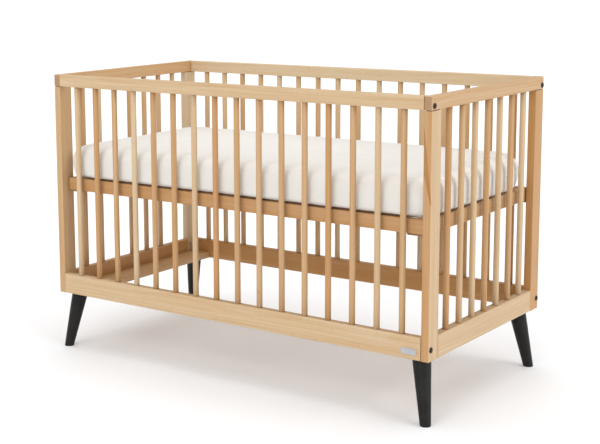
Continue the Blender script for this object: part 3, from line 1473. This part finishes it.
@dataclass
class Mattress:
    """A foam mattress in a fitted cotton cover, soft at its edges and puckered along its hem.

    Attributes:
        voxel: the size of the cloth's first mesh.
        start_inset: how much smaller the shape starts, because it swells.
        cap: how far a point may move in the simulation.
        corner: the radius of its corners in plan.
        top_edge: the radius of the edges round its top.
        bottom_edge: the radius of the edges round its bottom.
        pressure: the filling's push on the cover.
        frames: how long the cover settles.
        slack: how far the broad waves of the cover stand out.
        pucker: how deep the small folds over the hem are.
        pucker_reach: how far up the walls they fade out.
        crown: how much higher than its edges the top's middle is.
        tuck: how far its corners are drawn in above and below their middle.
        tuck_reach: how far from a corner that starts.
        tight: how much further the back right corner is drawn in, over its whole height.
    """

    joiner: Joiner
    voxel: float = 0.008
    start_inset: float = 0.004
    cap: float = 0.0045
    corner: float = 0.030
    top_edge: float = 0.034
    bottom_edge: float = 0.006
    pressure: float = 4.0
    frames: int = 20
    slack: float = 0.0011
    pucker: float = 0.0016
    pucker_reach: float = 0.020
    crown: float = 0.003
    tuck: float = 0.014
    tuck_reach: float = 0.10
    tight: float = 0.022

    def build(self) -> None:
        """Makes the mattress."""
        low, high = node_box("mattress")
        mattress = self.stuffed_shape(low, high)
        self.settle(mattress)
        self.fill_space(mattress, low, high)
        subdivide = mattress.modifiers.new("smooth cloth", "SUBSURF")
        subdivide.levels = subdivide.render_levels = 1
        bake_modifiers(mattress)
        self.wrinkle(mattress, low, high)
        self.keep_inside(mattress, low, high)
        self.map_cloth(mattress)
        self.mark_depth(mattress, (low + high) / 2, (high - low) / 2)
        mattress.data.materials.clear()
        mattress.data.materials.append(self.joiner.finishes.cover)
        smooth(mattress, 80, weighted=False)
        self.joiner.deliver(mattress, MATTRESS_BODY, "mattress_cloth", ["mattress"])

    def stuffed_shape(self, low: Vector, high: Vector) -> bpy.types.Object:
        """The shape before its cover settles: a block with round corners, evenly meshed."""
        inset = Vector.Fill(3, self.start_inset)
        low, high = low + inset, high - inset
        bm = bmesh.new()
        bmesh.ops.create_cube(bm, size=1.0)
        bmesh.ops.scale(bm, vec=high - low, verts=bm.verts)
        bmesh.ops.translate(bm, vec=(low + high) / 2, verts=bm.verts)
        upright = [e for e in bm.edges if abs(e.verts[0].co.z - e.verts[1].co.z) > 0.01]
        bmesh.ops.bevel(bm, geom=upright, offset=self.corner, segments=8, profile=0.5, affect="EDGES")
        for level, radius in ((high.z, self.top_edge), (low.z, self.bottom_edge)):
            rim = [e for e in bm.edges if all(abs(v.co.z - level) < 1e-5 for v in e.verts)]
            bmesh.ops.bevel(bm, geom=rim, offset=radius, segments=6, profile=0.5, affect="EDGES")
        mattress = new_piece("mattress_cover", bm)
        remesh = mattress.modifiers.new("even mesh", "REMESH")
        remesh.mode = "VOXEL"
        remesh.voxel_size = self.voxel
        bake_modifiers(mattress)
        return mattress

    def settle(self, mattress: bpy.types.Object) -> None:
        """Runs the cover as cloth over a pressed filling, and keeps the result."""
        before = [vert.co.copy() for vert in mattress.data.vertices]
        cloth = mattress.modifiers.new("cover", "CLOTH")
        cloth.settings.use_pressure = True
        cloth.settings.uniform_pressure_force = self.pressure
        cloth.settings.effector_weights.gravity = 0
        cloth.settings.quality = 5
        cloth.point_cache.frame_start = 1
        cloth.point_cache.frame_end = self.frames
        scene = bpy.context.scene
        for number in range(1, self.frames + 1):
            scene.frame_set(number)
        depsgraph = bpy.context.evaluated_depsgraph_get()
        settled = mattress.evaluated_get(depsgraph).data
        after = [vert.co.copy() for vert in settled.vertices]
        mattress.modifiers.clear()
        scene.frame_set(1)
        for vert, start, end in zip(mattress.data.vertices, before, after):
            move = end - start
            if move.length > self.cap:
                move *= self.cap / move.length
            vert.co = start + move

    def fill_space(self, mattress: bpy.types.Object, low: Vector, high: Vector) -> None:
        """Stretches the cover a little, so that it fills its place in the crib from wall to wall."""
        verts = mattress.data.vertices
        for axis in Axis:
            first = min(vert.co[axis] for vert in verts)
            last = max(vert.co[axis] for vert in verts)
            scale = (high[axis] - low[axis]) / (last - first)
            for vert in verts:
                vert.co[axis] = low[axis] + (vert.co[axis] - first) * scale

    def wrinkle(self, mattress: bpy.types.Object, low: Vector, high: Vector) -> None:
        """Raises the top's middle, loosens the cover in broad waves, and puckers it over the hem."""
        normals = [vert.normal.copy() for vert in mattress.data.vertices]
        middle = (low + high) / 2
        half = (high - low) / 2
        for vert, normal in zip(mattress.data.vertices, normals):
            point = vert.co.copy()
            under = fade_between(-normal.z, 0.93, 0.99)
            rise = self.broad_waves(point) + self.hem_puckers(point, normal, low)
            vert.co += normal * (rise - self.slack) * (1 - under)
            vert.co.z = vert.co.z * (1 - under) + low.z * under
            vert.co += self.corner_tuck(point, middle, half)
            if normal.z > 0.5:
                reach = max(abs(point.x - middle.x) / half.x, abs(point.y - middle.y) / half.y)
                vert.co.z += self.crown * max(0.0, 1 - reach ** 4)

    def corner_tuck(self, point: Vector, middle: Vector, half: Vector) -> Vector:
        """How a point near a corner is drawn in, so that the corner bulges at half its height."""
        away = point - middle
        short = Vector((half.x - abs(away.x), half.y - abs(away.y)))
        near = fade_between(1 - short.length / self.tuck_reach, 0.0, 1.0)
        amount = self.tuck * near * abs(away.z / half.z) ** 2.4
        if away.x > 0 and away.y > 0:
            amount += self.tight * near
        inward = Vector((-math.copysign(1, away.x), -math.copysign(1, away.y), 0))
        return inward * amount * math.sqrt(0.5)

    def broad_waves(self, point: Vector) -> float:
        """Soft unevenness of a cover over foam, in waves of a hand's breadth and of a finger's."""
        fine = noise.noise(point * 26.0 + Vector((3, 1, 7)))
        return self.slack * (noise.noise(point * 7.0) + 0.35 * fine)

    def hem_puckers(self, point: Vector, normal: Vector, low: Vector) -> float:
        """Small slanting folds where the cover is drawn under the mattress."""
        level = 1 - abs(normal.z)
        up = point.z - low.z
        if level < 0.15 or up > 4 * self.pucker_reach:
            return 0.0
        round_edge = point.x - point.y
        slant = 0.6 * noise.noise(Vector((round_edge * 6, 0, 3)))
        place = round_edge + slant * up
        ridge = noise.noise(Vector((place * 52, 0.4 * point.z, 11)))
        strength = 0.5 + 0.5 * noise.noise(Vector((place * 9, 5, 2)))
        fade = math.exp(-up / self.pucker_reach) * min(1.0, level * 2)
        return -self.pucker * fade * strength * (1 - abs(ridge) * 2.2) ** 3

    def keep_inside(self, mattress: bpy.types.Object, low: Vector, high: Vector) -> None:
        """Flattens the cover where it would leave its space, as on the slats below it."""
        ceiling = high.z + self.crown + 0.001
        for vert in mattress.data.vertices:
            vert.co.x = min(max(vert.co.x, low.x), high.x)
            vert.co.y = min(max(vert.co.y, low.y), high.y)
            vert.co.z = min(max(vert.co.z, low.z), ceiling)

    def mark_depth(self, mattress: bpy.types.Object, middle: Vector, half: Vector) -> None:
        """Stores how far in from the nearest wall each point is."""
        aways = [vert.co - middle for vert in mattress.data.vertices]
        depths = (min(half.x - abs(away.x), half.y - abs(away.y)) for away in aways)
        store(mattress, "inside", "FLOAT", "POINT", depths)

    def map_cloth(self, mattress: bpy.types.Object) -> None:
        """Stores a UV map in metres, laid flat on each wall, so that threads run with the edges."""
        mesh = mattress.data
        layer = mesh.uv_layers.new(name="cloth")
        for face in mesh.polygons:
            normal = face.normal
            widest = max(Axis, key=lambda axis: abs(normal[axis]))
            first, second = [(Axis.Y, Axis.Z), (Axis.X, Axis.Z), (Axis.X, Axis.Y)][widest]
            for corner in face.loop_indices:
                place = mesh.vertices[mesh.loops[corner].vertex_index].co
                layer.data[corner].uv = (place[first], place[second])


# --------------------------------------------------------------------------------------------------
# Studio


@dataclass
class Studio:
    """The camera, a pale floor and soft light.

    Attributes:
        eye: the camera's place.
        heading: its turn to the left of straight along +Y, in degrees.
        tilt: how far it looks below level, in degrees.
        lean: its roll, in degrees.
        lens: the focal length over a 36 mm sensor.
        shift: the lens shift, as a share of the picture's width.
        room: how brightly the room glows.
        front_power: the strength of the light before the front.
        side_power: the strength of the light beside the right end.
        top_power: the strength of the light above.
    """

    eye: tuple = (2.1135, -3.1451, 1.1519)
    heading: float = 37.89
    tilt: float = 9.01
    lean: float = -0.69
    lens: float = 79.2
    shift: tuple = (1 / 6, -1 / 12)
    room: float = 0.45
    front_power: float = 1.25
    side_power: float = 1.25
    top_power: float = 1.6

    def build(self) -> None:
        """Makes the studio."""
        self.build_camera()
        self.build_floor()
        self.build_lights()
        bpy.context.scene.view_settings.view_transform = "Standard"

    def build_camera(self) -> None:
        """Makes the camera and makes it the scene's own."""
        data = bpy.data.cameras.new("camera")
        data.lens = self.lens
        data.sensor_width = 36
        data.shift_x, data.shift_y = self.shift
        camera = bpy.data.objects.new("camera", data)
        camera.location = self.eye
        turn = Matrix.Rotation(math.radians(self.heading), 4, "Z")
        turn @= Matrix.Rotation(math.radians(90 - self.tilt), 4, "X")
        turn @= Matrix.Rotation(math.radians(self.lean), 4, "Z")
        camera.rotation_euler = turn.to_euler()
        bpy.context.scene.collection.objects.link(camera)
        bpy.context.scene.camera = camera

    def build_floor(self) -> None:
        """Makes a wide round floor."""
        bm = bmesh.new()
        bmesh.ops.create_circle(bm, cap_ends=True, segments=96, radius=60.0)
        floor = new_piece("floor", bm, PaleFloor().build())

    def build_lights(self) -> None:
        """Makes the soft lights and the bright room round them."""
        world = bpy.data.worlds.new("studio")
        bpy.context.scene.world = world
        world.use_nodes = True
        graph = Graph(world.node_tree)
        seen = graph.node("ShaderNodeLightPath").outputs["Is Camera Ray"]
        strength = graph.ramp(seen, 0.0, 1.0, self.room, 1.0, smooth=False)
        sky = graph.node("ShaderNodeBackground", {"Color": (1, 1, 1, 1), "Strength": strength})
        graph.node("ShaderNodeOutputWorld", {"Surface": sky.outputs[0]})
        self.add_light("front_light", (0.10, -1.0, 0.55), 45, self.front_power)
        self.add_light("side_light", (1.0, 0.05, 0.45), 50, self.side_power)
        self.add_light("top_light", (-0.2, 0.15, 1.0), 90, self.top_power)

    def add_light(self, name: str, toward: tuple, spread: float, power: float) -> None:
        """Makes a distant soft light.

        Args:
            name: its name.
            toward: the direction from the crib to the light.
            spread: how wide the light looks from the crib, in degrees.
            power: its strength.
        """
        data = bpy.data.lights.new(name, "SUN")
        data.angle = math.radians(spread)
        data.energy = power
        light = bpy.data.objects.new(name, data)
        light.rotation_euler = Vector(toward).to_track_quat("Z", "Y").to_euler()
        bpy.context.scene.collection.objects.link(light)


# --------------------------------------------------------------------------------------------------


def front_bar_tones() -> tuple[Tone, ...]:
    """The tones of the front bars from left to right, as the sticks came to hand."""
    return (
        Tone.LIGHT, Tone.AMBER, Tone.HONEY, Tone.PALE, Tone.HONEY, Tone.HONEY, Tone.LIGHT, Tone.RUSSET,
        Tone.HONEY, Tone.PINK, Tone.HONEY, Tone.PINK, Tone.AMBER, Tone.HONEY, Tone.LIGHT, Tone.PLAIN,
    )


def back_bar_tones() -> tuple[Tone, ...]:
    """The tones of the back bars from left to right."""
    return (
        Tone.PLAIN, Tone.LIGHT, Tone.HONEY, Tone.PLAIN, Tone.PALE, Tone.PLAIN, Tone.PINK, Tone.LIGHT,
        Tone.PLAIN, Tone.LIGHT, Tone.PLAIN, Tone.LIGHT, Tone.PINK, Tone.HONEY, Tone.AMBER, Tone.RUSSET,
    )


def small_knots() -> tuple[Knot, ...]:
    """Two tight knots in the front bars: one high in the third bar, one low in the tenth."""
    ladder_low, ladder_high = node_box("side_top_rail_front")
    middle = (ladder_low.y + ladder_high.y) / 2
    return (
        Knot((-0.3990 + 0.0072, middle - 0.0035, ladder_low.z - 0.018), Axis.Z, 0.0014),
        Knot((0.1088 + 0.0015, middle - 0.0078, 0.275), Axis.Z, 0.0011),
    )


def make_finishes() -> Finishes:
    """Makes the materials that the pieces share."""
    band = HeartwoodBand.in_post(*node_box("post_right_front"))
    return Finishes(
        beech=Beech(knots=small_knots(), band=band).build(),
        black_lacquer=BlackLacquer().build(),
        black_steel=Metal(
            "black_steel", (0.012, 0.012, 0.013, 1), (0.03, 0.03, 0.03, 1), metallic=0.4, roughness=0.38
        ).build(),
        brown_steel=Metal(
            "brown_steel", (0.30, 0.165, 0.075, 1), (0.24, 0.13, 0.06, 1), metallic=0.1, roughness=0.5
        ).build(),
        bright_steel=Metal(
            "bright_steel", (0.50, 0.51, 0.53, 1), (0.40, 0.41, 0.43, 1),
            metallic=1.0, roughness=0.34, brush=0.08,
        ).build(),
        cover=CottonCover(bottom=node_box("mattress")[0].z).build(),
    )


def main() -> None:
    """Builds the crib's looks in order."""
    logging.basicConfig(level=logging.INFO, format="%(message)s")
    Studio().build()
    joiner = Joiner(make_finishes(), LogCutter())
    bars, slats, hardware = bar_tree(), slat_tree(), hardware_tree()
    left_tones = (Tone.HONEY, Tone.LIGHT, Tone.PLAIN, Tone.HONEY, Tone.PLAIN, Tone.PINK, Tone.LIGHT)
    right_tones = (Tone.AMBER, Tone.PLAIN, Tone.LIGHT, Tone.HONEY, Tone.LIGHT, Tone.HONEY, Tone.LIGHT)
    EndPanel(
        "left", joiner, left_tones,
        {"front": (Tone.PLAIN, Tone.PLAIN), "back": (Tone.PALE, Tone.PALE)},
        {"top": Tone.HONEY, "bottom": Tone.AMBER}, seed=21,
    ).build(bars)
    EndPanel(
        "right", joiner, right_tones,
        {"front": (Tone.LIGHT, Tone.AMBER), "back": (Tone.AMBER, Tone.TEAK)},
        {"top": Tone.PLAIN, "bottom": Tone.LIGHT}, seed=22,
    ).build(bars)
    front_rails = {"top": Tone.LIGHT, "bottom": Tone.LIGHT}
    back_rails = {"top": Tone.PALE, "bottom": Tone.TEAK}
    BarredSide("front", joiner, front_bar_tones(), front_rails, seed=23).build(bars)
    BarredSide("back", joiner, back_bar_tones(), back_rails, seed=24).build(bars)
    Legs(joiner).build()
    CornerBolts(joiner).build(hardware)
    MakersPlate(joiner).build(hardware)
    SlattedBase(joiner).build(slats, hardware)
    Mattress(joiner).build()
    log.info("%d pieces made", joiner.made)


if __name__ == "__main__":
    main()
